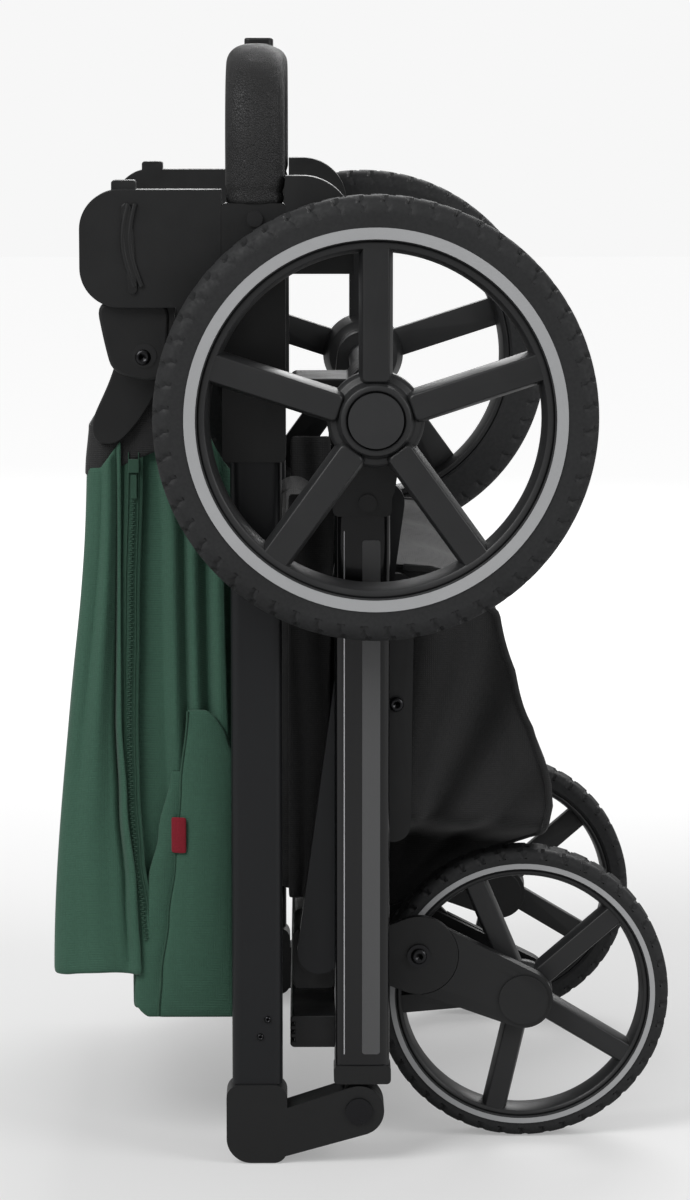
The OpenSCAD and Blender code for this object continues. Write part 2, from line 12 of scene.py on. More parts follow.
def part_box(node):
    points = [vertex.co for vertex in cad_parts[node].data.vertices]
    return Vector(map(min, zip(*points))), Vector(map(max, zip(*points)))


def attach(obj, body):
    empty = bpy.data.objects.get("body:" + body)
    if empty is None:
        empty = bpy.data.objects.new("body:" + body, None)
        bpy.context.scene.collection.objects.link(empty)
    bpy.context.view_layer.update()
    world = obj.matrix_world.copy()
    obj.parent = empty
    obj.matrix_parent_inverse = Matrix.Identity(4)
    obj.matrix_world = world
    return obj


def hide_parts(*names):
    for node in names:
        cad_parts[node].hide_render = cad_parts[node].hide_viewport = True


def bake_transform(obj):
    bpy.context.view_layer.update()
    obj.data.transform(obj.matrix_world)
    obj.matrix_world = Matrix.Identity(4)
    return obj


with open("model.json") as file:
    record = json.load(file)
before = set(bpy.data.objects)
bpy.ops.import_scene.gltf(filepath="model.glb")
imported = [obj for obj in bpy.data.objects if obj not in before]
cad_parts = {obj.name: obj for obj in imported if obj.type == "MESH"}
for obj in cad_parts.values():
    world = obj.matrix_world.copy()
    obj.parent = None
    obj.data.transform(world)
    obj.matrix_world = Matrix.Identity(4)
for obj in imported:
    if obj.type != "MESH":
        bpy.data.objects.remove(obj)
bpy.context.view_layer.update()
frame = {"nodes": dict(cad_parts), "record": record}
NODES = frame["nodes"]
SIDES = (("left", -1), ("right", 1))
MM = 0.001


# ---- Materials ----

def new_material(name, color, rough, metal=0.0):
    mat = bpy.data.materials.new(name)
    mat.use_nodes = True
    shader = mat.node_tree.nodes["Principled BSDF"]
    shader.inputs["Base Color"].default_value = (*color, 1)
    shader.inputs["Roughness"].default_value = rough
    shader.inputs["Metallic"].default_value = metal
    shader.inputs["Specular IOR Level"].default_value = 0.4
    return mat, mat.node_tree, shader


def add(tree, kind, **values):
    node = tree.nodes.new(kind)
    for key, value in values.items():
        if hasattr(node, key):
            setattr(node, key, value)
        else:
            node.inputs[key.replace("_", " ")].default_value = value
    return node


def coords(tree, scale=(1, 1, 1)):
    source = tree.nodes.new("ShaderNodeTexCoord")
    mapping = tree.nodes.new("ShaderNodeMapping")
    mapping.inputs["Scale"].default_value = scale
    tree.links.new(source.outputs["Object"], mapping.inputs["Vector"])
    return mapping.outputs["Vector"]


def noise(tree, vector, scale, detail=4.0):
    node = add(tree, "ShaderNodeTexNoise", Scale=scale, Detail=detail)
    tree.links.new(vector, node.inputs["Vector"])
    return node.outputs["Fac"]


def ramp(tree, fac, stops):
    node = tree.nodes.new("ShaderNodeValToRGB")
    elements = node.color_ramp.elements
    while len(elements) < len(stops):
        elements.new(0.5)
    for element, (place, color) in zip(elements, stops):
        element.position = place
        element.color = (*color, 1)
    tree.links.new(fac, node.inputs["Fac"])
    return node.outputs["Color"]


def bump(tree, shader, height, strength, distance, below=None):
    node = add(tree, "ShaderNodeBump", Strength=strength, Distance=distance)
    tree.links.new(height, node.inputs["Height"])
    if below is not None:
        tree.links.new(below, node.inputs["Normal"])
    tree.links.new(node.outputs["Normal"], shader.inputs["Normal"])
    return node.outputs["Normal"]


def grey_range(tree, fac, low, high):
    return ramp(tree, fac, [(0.3, (low, low, low)), (0.7, (high, high, high))])


def shade(color, factor):
    return tuple(min(1.0, c * factor) for c in color)


def worn(tree, shader, color, fac, spread):
    """Colour that drifts a little with noise and is lighter along edges."""
    body = ramp(tree, fac, [(0.25, shade(color, 1 - spread)), (0.75, shade(color, 1 + spread))])
    geometry = tree.nodes.new("ShaderNodeNewGeometry")
    edge = ramp(tree, geometry.outputs["Pointiness"],
                [(0.52, (0, 0, 0)), (0.6, (0.35, 0.35, 0.35))])
    mix = tree.nodes.new("ShaderNodeMix")
    mix.data_type = "RGBA"
    tree.links.new(edge, mix.inputs["Factor"])
    tree.links.new(body, mix.inputs["A"])
    mix.inputs["B"].default_value = (*shade(color, 2.2), 1)
    tree.links.new(mix.outputs["Result"], shader.inputs["Base Color"])


def plastic(name, color, rough, grain, strength=0.25):
    mat, tree, shader = new_material(name, color, rough)
    vector = coords(tree)
    worn(tree, shader, color, noise(tree, vector, 9.0), 0.12)
    fine = noise(tree, vector, grain, 2.0)
    tree.links.new(grey_range(tree, noise(tree, vector, 40.0), rough - 0.06, rough + 0.08),
                   shader.inputs["Roughness"])
    bump(tree, shader, fine, strength, 0.0002)
    return mat


def metal_paint(name, color, rough, coat, speckle=0.0):
    mat, tree, shader = new_material(name, color, rough, 0.35)
    shader.inputs["Coat Weight"].default_value = coat
    shader.inputs["Coat Roughness"].default_value = 0.08
    vector = coords(tree)
    worn(tree, shader, color, noise(tree, vector, 2600.0 if speckle else 12.0), 0.1 + speckle)
    streak = noise(tree, coords(tree, (60, 60, 2)), 8.0)
    tree.links.new(grey_range(tree, streak, rough - 0.04, rough + 0.07), shader.inputs["Roughness"])
    bump(tree, shader, noise(tree, vector, 900.0, 2.0), 0.1, 0.0001)
    return mat


def steel(name):
    mat, tree, shader = new_material(name, (0.035, 0.035, 0.037), 0.3, 1.0)
    streak = noise(tree, coords(tree, (1, 40, 1)), 60.0)
    tree.links.new(grey_range(tree, streak, 0.22, 0.42), shader.inputs["Roughness"])
    bump(tree, shader, streak, 0.15, 0.0001)
    return mat


def wave(tree, vector, scale, direction):
    node = add(tree, "ShaderNodeTexWave", bands_direction=direction, Scale=scale, Distortion=0.6)
    node.inputs["Detail"].default_value = 1.0
    node.inputs["Detail Scale"].default_value = 6.0
    tree.links.new(vector, node.inputs["Vector"])
    return node.outputs["Fac"]


def math_node(tree, operation, a, b):
    node = tree.nodes.new("ShaderNodeMath")
    node.operation = operation
    for socket, value in zip(node.inputs, (a, b)):
        if isinstance(value, float):
            socket.default_value = value
        else:
            tree.links.new(value, socket)
    return node.outputs["Value"]


def cloth(name, color, thread, sheen, spread, rough=0.85):
    """Woven cloth: crossed threads in relief, uneven dye and soft creases."""
    mat, tree, shader = new_material(name, color, rough)
    shader.inputs["Sheen Weight"].default_value = sheen
    shader.inputs["Sheen Roughness"].default_value = 0.45
    vector = coords(tree)
    scale = 1 / (thread * 6.28)
    warp = wave(tree, vector, scale, "Z")
    weft = math_node(tree, "MAXIMUM", wave(tree, vector, scale, "X"),
                     wave(tree, vector, scale, "Y"))
    weave = math_node(tree, "MULTIPLY", warp, weft)
    melange = noise(tree, coords(tree, (1, 1, 0.25)), 1400.0, 3.0)
    dye = noise(tree, vector, 7.0)
    tone = math_node(tree, "ADD", math_node(tree, "MULTIPLY", melange, 0.6),
                     math_node(tree, "MULTIPLY", dye, 0.4))
    both = math_node(tree, "ADD", math_node(tree, "MULTIPLY", weave, 0.2), tone)
    colors = ramp(tree, both, [(0.3, shade(color, 1 - spread)), (0.8, shade(color, 1 + spread))])
    tree.links.new(colors, shader.inputs["Base Color"])
    crease = bump(tree, shader, noise(tree, coords(tree, (1, 1, 0.35)), 22.0, 3.0), 0.3, 0.004)
    bump(tree, shader, weave, 0.5, 0.0004, crease)
    return mat


def leather(name, color):
    mat, tree, shader = new_material(name, color, 0.5)
    vector = coords(tree)
    cells = add(tree, "ShaderNodeTexVoronoi", feature="DISTANCE_TO_EDGE", Scale=700.0)
    tree.links.new(vector, cells.inputs["Vector"])
    worn(tree, shader, color, noise(tree, vector, 25.0), 0.2)
    tree.links.new(grey_range(tree, noise(tree, vector, 90.0), 0.52, 0.64),
                   shader.inputs["Roughness"])
    soft = bump(tree, shader, noise(tree, vector, 60.0, 3.0), 0.25, 0.002)
    grain = ramp(tree, cells.outputs["Distance"], [(0.0, (0, 0, 0)), (0.14, (1, 1, 1))])
    bump(tree, shader, grain, 0.9, 0.0008, soft)
    return mat


def rubber(name, color):
    mat, tree, shader = new_material(name, color, 0.72)
    vector = coords(tree)
    worn(tree, shader, color, noise(tree, vector, 18.0), 0.18)
    dust = noise(tree, vector, 420.0, 4.0)
    tree.links.new(grey_range(tree, dust, 0.62, 0.82), shader.inputs["Roughness"])
    bump(tree, shader, dust, 0.18, 0.0002)
    return mat


MATERIALS = {
    "gloss_tube": metal_paint("gloss_tube", (0.004, 0.004, 0.0045), 0.18, 0.5),
    "matte_tube": metal_paint("matte_tube", (0.009, 0.0095, 0.0105), 0.4, 0.08),
    "black_plastic": plastic("black_plastic", (0.0085, 0.0087, 0.009), 0.45, 1500.0),
    "rim_plastic": plastic("rim_plastic", (0.018, 0.0183, 0.019), 0.4, 1200.0),
    "steel": steel("steel"),
    "tyre": rubber("tyre", (0.014, 0.0144, 0.0152)),
    "stripe": plastic("stripe", (0.27, 0.273, 0.278), 0.5, 1800.0, 0.4),
    "grip": leather("grip", (0.022, 0.022, 0.0225)),
    "green_fabric": cloth("green_fabric", (0.037, 0.1, 0.066), 0.0006, 0.12, 0.2),
    "black_fabric": cloth("black_fabric", (0.0145, 0.0146, 0.015), 0.0007, 0.12, 0.45, 0.8),
    "speckled_trim": metal_paint("speckled_trim", (0.07, 0.0705, 0.072), 0.4, 0.2, 0.5),
}
# Seen on seams and details only, so they are no slots of the record
THREAD = cloth("sewing_thread", (0.028, 0.078, 0.05), 0.0003, 0.1, 0.2)
ZIP_TAPE = cloth("zip_tape", (0.029, 0.08, 0.052), 0.0004, 0.08, 0.2)
PULL_TAB = cloth("label_tape", (0.2, 0.004, 0.014), 0.0005, 0.1, 0.15)
# Painted highlight: a light grey metal line stands in for a lamp's reflection on the glossy corner
# of the leg tubes.
LEG_HIGHLIGHT_PAINT = steel("painted_highlight_line")
LEG_HIGHLIGHT_PAINT.node_tree.nodes["Principled BSDF"].inputs["Base Color"].default_value = (0.7, 0.7, 0.72, 1)


def paint(obj, mat):
    obj.data.materials.clear()
    obj.data.materials.append(mat)


# ---- Mesh helpers ----

def link_mesh(name, verts, faces, smooth=True):
    mesh = bpy.data.meshes.new(name)
    mesh.from_pydata([tuple(v) for v in verts], [], faces)
    mesh.validate()
    mesh.update()
    obj = bpy.data.objects.new(name, mesh)
    bpy.context.collection.objects.link(obj)
    if smooth:
        mesh.polygons.foreach_set("use_smooth", [True] * len(mesh.polygons))
    return obj


def link_bmesh(name, bm, smooth=False):
    """Makes a linked object of a bmesh and frees the bmesh."""
    mesh = bpy.data.meshes.new(name)
    bm.to_mesh(mesh)
    bm.free()
    obj = bpy.data.objects.new(name, mesh)
    bpy.context.collection.objects.link(obj)
    if smooth:
        mesh.polygons.foreach_set("use_smooth", [True] * len(mesh.polygons))
    return obj


def face_outward(obj):
    bm = bmesh.new()
    bm.from_mesh(obj.data)
    bmesh.ops.recalc_face_normals(bm, faces=bm.faces)
    bm.to_mesh(obj.data)
    bm.free()


def grid_faces(rows, columns, close_rows=False, close_columns=False, start=0):
    faces = []
    for i in range(rows if close_rows else rows - 1):
        for j in range(columns if close_columns else columns - 1):
            a = start + i * columns + j
            b = start + i * columns + (j + 1) % columns
            c = start + ((i + 1) % rows) * columns + (j + 1) % columns
            d = start + ((i + 1) % rows) * columns + j
            faces.append((a, b, c, d))
    return faces


def sharpen(bm, degrees):
    """Edges that turn more than this stay sharp."""
    for edge in bm.edges:
        edge.smooth = len(edge.link_faces) != 2 or edge.calc_face_angle(0) < math.radians(degrees)


def crease(obj, degrees):
    bm = bmesh.new()
    bm.from_mesh(obj.data)
    sharpen(bm, degrees)
    bm.to_mesh(obj.data)
    bm.free()


def bevelled(obj, width, segments=3, angle=35):
    mod = obj.modifiers.new("edges", "BEVEL")
    mod.width = width
    mod.segments = segments
    mod.limit_method = "ANGLE"
    mod.angle_limit = math.radians(angle)
    mod.harden_normals = False
    return obj


def thickened(obj, thickness, levels=0):
    mod = obj.modifiers.new("thick", "SOLIDIFY")
    mod.thickness = thickness
    mod.offset = 0
    if levels:
        sub = obj.modifiers.new("round", "SUBSURF")
        sub.levels = levels
        sub.render_levels = levels
    return obj


def bake_modifiers(obj):
    depsgraph = bpy.context.evaluated_depsgraph_get()
    obj.data = bpy.data.meshes.new_from_object(obj.evaluated_get(depsgraph))
    obj.modifiers.clear()


def smoothstep(a, b, x):
    t = min(1.0, max(0.0, (x - a) / (b - a)))
    return t * t * (3 - 2 * t)


def lerp(a, b, t):
    return a + (b - a) * t


def along(points, z):
    """x at height z on a polyline of (z, x) points, smoothed between them."""
    if z <= points[0][0]:
        return points[0][1]
    for (z0, x0), (z1, x1) in zip(points, points[1:]):
        if z <= z1:
            return lerp(x0, x1, smoothstep(z0, z1, z))
    return points[-1][1]


def hump(x, centre, width):
    return math.exp(-((x - centre) / width) ** 2)


def tube(name, points, radius, mat, body):
    """A round line along points, for seams, piping and moulded ribs."""
    curve = bpy.data.curves.new(name, "CURVE")
    curve.dimensions = "3D"
    curve.bevel_depth = radius
    curve.bevel_resolution = 3
    curve.use_fill_caps = True
    spline = curve.splines.new("POLY")
    spline.points.add(len(points) - 1)
    for point, place in zip(spline.points, points):
        point.co = (*place, 1)
    obj = bpy.data.objects.new(name, curve)
    bpy.context.collection.objects.link(obj)
    paint(obj, mat)
    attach(obj, body)
    return obj


# ---- Places in the CAD drawing ----

REAR_AXLE_X = 44.6  # in the CAD drawing, in millimetres
wheel_low, wheel_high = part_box("rear_rim_left")
DRAWING_X = (wheel_low.x + wheel_high.x) / 2 - REAR_AXLE_X * MM


def at(x, y, z):
    """A point of the CAD drawing, in millimetres, as a place in the frame."""
    return Vector((DRAWING_X + x * MM, y * MM, z * MM))


def sheet_mesh(name, rows, thick, mat, body, levels=1):
    """A cloth sheet from rows of points in millimetres."""
    verts = [at(*p) for row in rows for p in row]
    obj = link_mesh(name, verts, grid_faces(len(rows), len(rows[0])))
    thickened(obj, thick * MM, levels)
    paint(obj, mat)
    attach(obj, body)
    return obj


# ---- Rounded copies of the hard parts ----

def round_heel(co):
    """The foot of the handle tube has a large radius at its outer lower corner."""
    small, large = 9 * MM, 17 * MM
    left = at(-55, 0, 0).x
    x, z = co.x - (left + small), co.z - small
    if x > 1e-5 or z > 1e-5:
        return co
    angle = math.atan2(min(z, 0.0), min(x, 0.0))
    reach = large - max(0.0, small - math.hypot(x, z))
    return Vector((left + large + reach * math.cos(angle), co.y, large + reach * math.sin(angle)))


def soften(node, body, width, mat, reshape=None):
    """A copy of a CAD node with its sharp edges rounded stands for it."""
    obj = NODES[node].copy()
    obj.data = NODES[node].data.copy()
    obj.name = node + ".soft"
    bpy.context.collection.objects.link(obj)
    bm = bmesh.new()
    bm.from_mesh(obj.data)
    bmesh.ops.remove_doubles(bm, verts=bm.verts, dist=1e-5)
    if reshape:
        for vertex in bm.verts:
            vertex.co = reshape(vertex.co)
    bmesh.ops.dissolve_limit(bm, angle_limit=math.radians(1.0), verts=bm.verts, edges=bm.edges)
    sharpen(bm, 35)
    for face in bm.faces:
        face.smooth = True
    bm.to_mesh(obj.data)
    bm.free()
    bevelled(obj, width)
    normals = obj.modifiers.new("normals", "WEIGHTED_NORMAL")
    normals.keep_sharp = True
    paint(obj, MATERIALS[mat])
    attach(obj, body)
    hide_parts(node)
    return obj


SLOT_OF = {row["node"]: row["material_slot"] for row in frame["record"]["subparts"]}
BODY_OF = {node: body for body, nodes in frame["record"]["behaviour"]["bodies"].items()
           for node in nodes}

for node, obj in NODES.items():
    paint(obj, MATERIALS[SLOT_OF[node]])

# Edge radii in millimetres, for parts on both sides and for single ones
ROUNDED = {"armrest": 2.2, "sleeve": 1.6, "hinge_arm": 2.0, "hinge_base": 1.5,
           "axle_housing": 1.6, "castor": 1.2, "castor_bracket": 1.5, "fork": 1.2}
ROUNDED_SINGLE = {"footboard": 0.8, "brake_pedal": 2.0, "fold_button": 1.5}
for part, width in ROUNDED.items():
    for side, _ in SIDES:
        node = f"{part}_{side}"
        soften(node, BODY_OF[node], width * MM, SLOT_OF[node],
               round_heel if part == "hinge_arm" else None)
for node, width in ROUNDED_SINGLE.items():
    soften(node, BODY_OF[node], width * MM, SLOT_OF[node])


# ---- Wheels ----

GROOVE_DEPTH = 3.0 * MM
CENTRE_CHANNEL = 1.5 * MM


def lathe(centre, profile, count, offset=None):
    """Turns a closed profile of (radius, y) points round the wheel's axis."""
    verts = []
    for i in range(count):
        angle = 2 * math.pi * i / count
        for k, (radius, y) in enumerate(profile):
            r = radius - (offset(i, k, y) if offset else 0)
            verts.append(centre + Vector((r * math.cos(angle), y, r * math.sin(angle))))
    return verts, grid_faces(count, len(profile), True, True)


def arc(cx, cy, r, a0, a1, count):
    return [(cx + r * math.cos(math.radians(lerp(a0, a1, i / count))),
             cy + r * math.sin(math.radians(lerp(a0, a1, i / count)))) for i in range(count + 1)]


def tyre(side, end, round_r, block, pieces):
    """Foam tyre with shoulder blocks cut by angled grooves."""
    node = f"{end}_tyre_{side}"
    low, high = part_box(node)
    centre = (Vector(low) + Vector(high)) / 2
    outer = (high[0] - low[0]) / 2
    half = (high[1] - low[1]) / 2
    stripe_low, stripe_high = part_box(f"{end}_stripe_{side}")
    bead = (stripe_high[0] - stripe_low[0]) / 2 - (8.5 if end == "rear" else 4.5) * MM
    crown = [(outer, y) for y in (half * -0.45, half * -0.15, half * 0.15, half * 0.45)]
    profile = [(bead, -half * 0.92), (bead + 2 * MM, -half)]
    profile += [(lerp(bead, outer - round_r, t), -half) for t in (0.35, 0.7, 0.96, 1.0)]
    profile += arc(outer - round_r, -half + round_r, round_r, -82, -12, 7)
    profile += crown
    profile += arc(outer - round_r, half - round_r, round_r, 12, 82, 7)
    profile += [(lerp(bead, outer - round_r, t), half) for t in (1.0, 0.96, 0.7, 0.35)]
    profile += [(bead + 2 * MM, half), (bead, half * 0.92)]
    count = block * pieces

    def groove(i, k, y):
        shoulder = abs(y) / half
        radius = profile[k][0]
        if radius < outer - round_r * 0.95:
            return 0.0
        shift = int(round(shoulder * 3)) + (block // 2 if y > 0 else 0)
        cut = (i + shift) % block
        if 0.3 < shoulder and cut == 0:
            return GROOVE_DEPTH
        if shoulder < 0.2:
            return CENTRE_CHANNEL
        return 0.0

    verts, faces = lathe(centre, profile, count, groove)
    obj = link_mesh(node + ".tread", verts, faces)
    face_outward(obj)
    crease(obj, 24)
    paint(obj, MATERIALS["tyre"])
    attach(obj, BODY_OF[node])
    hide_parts(node)


def spoke_shape(bm, centre, angle, r0, r1, w, y0, y1):
    """One spoke: a raised bar with rounded ends and sloping flanks on a wider foot."""
    turn = Matrix.Rotation(-angle, 4, "Y")
    rings = []
    sections = ((y1, w, 2 * MM, 3 * MM), (lerp(y0, y1, 0.45), w, 1.5 * MM, 3 * MM),
                (lerp(y0, y1, 0.04), w * 0.79, 0, 3.5 * MM), (y0, w * 0.72, -1.2 * MM, 3 * MM))
    for y, wide, grow, corner in sections:
        ring = []
        far, near, flank = r1 + grow - corner, r0 - grow + corner, wide / 2 - corner
        for cr, cz, start in ((far, flank, 0), (near, flank, 90),
                              (near, -flank, 180), (far, -flank, 270)):
            for k in range(5):
                a = math.radians(start + 22.5 * k)
                ring.append(bm.verts.new(centre + turn @ Vector((cr + corner * math.cos(a), y,
                                                                 cz + corner * math.sin(a)))))
        rings.append(ring)
    count = len(rings[0])
    for low, top in zip(rings, rings[1:]):
        for k in range(count):
            bm.faces.new((low[k], low[(k + 1) % count], top[(k + 1) % count], top[k]))
    bm.faces.new(rings[0])
    bm.faces.new(rings[-1])


def add_lathe(bm, centre, profile, count):
    verts, faces = lathe(centre, profile, count)
    made = [bm.verts.new(v) for v in verts]
    for face in faces:
        bm.faces.new([made[i] for i in face])


def rim(side, sign, end, hub_r, spoke_w, phase, count):
    """Spoked rim: barrel, hub with a raised lip and five bevelled spokes."""
    node = f"{end}_rim_{side}"
    low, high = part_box(node)
    centre = (Vector(low) + Vector(high)) / 2
    outer = (high[0] - low[0]) / 2
    hub_half = (high[1] - low[1]) / 2
    half = hub_half - (2.5 if end == "rear" else 1.5) * MM
    depth = 7 * MM if end == "rear" else 5 * MM
    bm = bmesh.new()
    barrel = [(outer, -half), (outer - 1.5 * MM, -half - 1 * MM), (outer - depth * 0.7, -half),
              (outer - depth, -half * 0.6), (outer - depth * 1.15, 0),
              (outer - depth, half * 0.6), (outer - depth * 0.7, half),
              (outer - 1.5 * MM, half + 1 * MM), (outer, half)]
    add_lathe(bm, centre, barrel, 128)
    face = sign * hub_half
    bore = 6.1 * MM if end == "rear" else 4.1 * MM
    lip = hub_r * 0.62
    hub = [(bore, -face * 0.98), (bore, face * 0.85), (lip, face * 0.85),
           (lip + 0.4 * MM, face * 0.97), (lip + 1.5 * MM, face)]
    hub += [(hub_r * share, face * height) for share, height in
            ((0.76, 0.97), (0.8, 0.8), (0.86, 0.62), (0.98, 0.56), (1.06, 0.4), (1.06, 0),
             (0.9, -0.7), (0.7, -0.98))]
    add_lathe(bm, centre, hub, 80)
    y0, y1 = face * 0.88, sign * -0.002
    for i in range(count):
        angle = math.radians(phase + i * 360 / count)
        spoke_shape(bm, centre, angle, hub_r * 0.82, outer - depth * 0.12, spoke_w, y0, y1)
    bmesh.ops.recalc_face_normals(bm, faces=bm.faces)
    obj = link_bmesh(node + ".cast", bm, True)
    bevelled(obj, 0.5 * MM, 2, 25)
    paint(obj, MATERIALS["rim_plastic"])
    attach(obj, BODY_OF[node])
    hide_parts(node)


for side, sign in SIDES:
    tyre(side, "rear", 11 * MM, 6, 56)
    tyre(side, "front", 6 * MM, 6, 42)
    rim(side, sign, "rear", 30 * MM, 22 * MM, 18, 5)
    rim(side, sign, "front", 20 * MM, 16.5 * MM, 41, 5)


# ---- Grip ----

def grip_sweep():
    """Padded grip: an oval section swept up one leg, along the crossbar and down the other leg."""
    low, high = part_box("grip_cover")
    mid_x = (low.x + high.x) / 2
    wide, bend = (high.x - low.x) / 2, 50 * MM
    thick = 15 * MM
    reach, crest, base = high.y - thick, high.z - thick, low.z
    path = [(-reach, lerp(base, crest - bend, i / 16), 90.0) for i in range(17)]
    path += [(-reach + bend - bend * math.cos(math.radians(d)),
              crest - bend + bend * math.sin(math.radians(d)), 90.0 - d) for d in range(6, 91, 6)]
    path += [(lerp(-reach + bend, reach - bend, i / 40), crest, 0.0) for i in range(1, 40)]
    path += [(-y, z, -turn) for y, z, turn in reversed(path[:32])]
    verts, ring = [], 40
    for k, (y, z, turn) in enumerate(path):
        ahead = Vector((0, math.cos(math.radians(turn)), math.sin(math.radians(turn))))
        out = Vector((0, -ahead.z, ahead.y))
        near_end = min(k, len(path) - 1 - k)
        grow = 1.0 - (0.07 if near_end in (0, 3) else 0.03 if near_end in (1, 2, 4) else 0.0)
        for i in range(ring):
            a = 2 * math.pi * i / ring
            cx, cy = math.cos(a), math.sin(a)
            px = math.copysign(abs(cx) ** 0.82, cx) * wide * grow
            py = math.copysign(abs(cy) ** 0.82, cy) * thick * grow
            verts.append(Vector((mid_x + px, y, z)) + out * py)
    obj = link_mesh("grip_leather", verts, grid_faces(len(path), ring, False, True))
    bm = bmesh.new()
    bm.from_mesh(obj.data)
    bm.verts.ensure_lookup_table()
    bm.faces.new([bm.verts[i] for i in range(ring)])
    bm.faces.new([bm.verts[len(verts) - 1 - i] for i in range(ring)])
    bmesh.ops.recalc_face_normals(bm, faces=bm.faces)
    bm.to_mesh(obj.data)
    bm.free()
    paint(obj, MATERIALS["grip"])
    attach(obj, "handle_frame")
    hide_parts("grip_cover")
    seam = []
    for y, z, turn in path[4:-4]:
        ahead = Vector((0, math.cos(math.radians(turn)), math.sin(math.radians(turn))))
        seam.append(Vector((mid_x, y, z)) - Vector((0, -ahead.z, ahead.y)) * (thick + 0.1 * MM))
    tube("grip_seam", seam, 0.6 * MM, MATERIALS["grip"], "handle_frame")


grip_sweep()


# ---- Moulded details ----

def plate(name, outline, y0, y1, body, mat, round_mm=1.0):
    """A moulded plate from an outline in millimetres, between two places across the width."""
    bm = bmesh.new()
    near = [bm.verts.new(at(x, y0, z)) for x, z in outline]
    far = [bm.verts.new(at(x, y1, z)) for x, z in outline]
    bm.faces.new(near)
    bm.faces.new(list(reversed(far)))
    for k in range(len(outline)):
        n = (k + 1) % len(outline)
        bm.faces.new((near[k], far[k], far[n], near[n]))
    bmesh.ops.recalc_face_normals(bm, faces=bm.faces)
    obj = link_bmesh(name, bm)
    bevelled(obj, round_mm * MM, 3)
    paint(obj, MATERIALS[mat])
    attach(obj, body)
    return obj


def rounded(points, radius, steps=6):
    """The outline with each corner cut to an arc-like curve."""
    out = []
    count = len(points)
    for k, p in enumerate(points):
        before, after = Vector(points[k - 1]), Vector(points[(k + 1) % count])
        p = Vector(p)
        r0 = min(radius, (before - p).length * 0.48)
        r1 = min(radius, (after - p).length * 0.48)
        a = p + (before - p).normalized() * r0
        b = p + (after - p).normalized() * r1
        for i in range(steps + 1):
            t = i / steps
            out.append(tuple(a * (1 - t) ** 2 + p * 2 * t * (1 - t) + b * t * t))
    return out


def dome(name, x, y, z, radius, sign, body, mat):
    """Rivet or screw head: a low dome with a socket."""
    bm = bmesh.new()
    profile = [(share * radius * MM, sign * height * MM) for share, height in
               ((0.05, 0.6), (0.4, 0.6), (0.46, 1.5), (0.75, 1.3), (1, 0.3), (1, -1), (0.05, -1))]
    add_lathe(bm, at(x, y, z), profile, 32)
    bmesh.ops.recalc_face_normals(bm, faces=bm.faces)
    obj = link_bmesh(name, bm, True)
    paint(obj, MATERIALS[mat])
    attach(obj, body)


LUG = [(-139, 582), (-133, 552), (-128, 534), (-96, 528), (-92, 545), (-90, 582)]
FRONT_ARM = [(-121, 560), (-131, 528), (-144, 500), (-142, 486), (-127, 484), (-112, 500),
             (-95, 528), (-91, 556)]
REAR_ARM = [(-118, 556), (-112, 528), (-104, 500), (-98, 484), (-84, 486), (-88, 520), (-93, 556)]
SLEEVE_BAND = [(-56.6, 606), (-56.6, 609), (-13.4, 609), (-13.4, 606)]
SEAT_WING_EDGE = [(172, -1), (200, 5), (300, 15), (450, 18.5)]
RIB_Y = 252.2
RIB_LOW, RIB_TALL = 592, 54
ARM_THICK = 3


def outer_y(node, sign):
    """The node's face on that side of the stroller, in millimetres."""
    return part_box(node)[0 if sign < 0 else 1].y / MM


for side, sign in SIDES:
    plate("hood_lug_cover_" + side, rounded(LUG, 12), sign * 231.5, sign * 245.5, "handle_frame",
          "black_plastic", 2.0)
    dome("hood_lug_screw_" + side, -108, sign * 246.0, 545, 5.2, sign, "handle_frame", "steel")
    for k, shift in enumerate((-2.3, 2.3)):
        ribs = []
        for z in range(RIB_LOW, RIB_LOW + RIB_TALL + 1, 3):
            t = (z - RIB_LOW) / RIB_TALL
            ribs.append(at(lerp(-110.5, -114.5, t) + shift - 5.5 * math.sin(math.pi * t),
                           sign * RIB_Y, z))
        tube(f"armrest_rib_{side}_{k}", ribs, 1.9 * MM, MATERIALS["black_plastic"], "handle_frame")
for side, sign in SIDES:
    pin_y = outer_y("front_axle_" + side, sign)
    dome("castor_screw_" + side, 76, pin_y + sign * 0.6, 132, 5.4, sign, "fork_" + side, "steel")
    strip_y = outer_y("basket_strips", sign)
    dome("basket_rivet_" + side, 60, strip_y + sign * 0.4, 308, 5.0, sign, "lower_rail", "steel")
    tube_y = outer_y("handle_tube_" + side, sign)
    for k, (x, z) in enumerate(((-27, 99), (-32, 87))):
        dome(f"tube_screw_{side}_{k}", x, tube_y + sign * 0.4, z, 2.4, sign, "handle_frame",
             "steel")
    sleeve_y = outer_y("sleeve_" + side, sign)
    plate("sleeve_band_" + side, rounded(SLEEVE_BAND, 1.0), sleeve_y + sign * 0.5,
          sleeve_y - sign * 2, "handle_frame", "black_plastic", 0.4)
    # Painted highlight: a thin bright line down each leg tube in place of a lamp's reflection on
    # its corner.
    highlight_x = (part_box("leg_tube_" + side)[0].x - DRAWING_X) / MM + 6.5
    tube("leg_painted_highlight_" + side, [at(highlight_x, tube_y + sign * 0.1, z) for z in (75, 430)], 0.45 * MM,
         LEG_HIGHLIGHT_PAINT, "chassis")
    rows = []
    for i in range(30):
        z = lerp(172, 450, i / 29)
        edge = along(SEAT_WING_EDGE, z)
        rows.append([(lerp(-13, edge, j / 9), sign * (202.5 + 1.2 * math.sin(j * 1.1 + z / 40)), z)
                     for j in range(10)])
    sheet_mesh("seat_wing_" + side, rows, 1.6, MATERIALS["black_fabric"], "handle_frame")

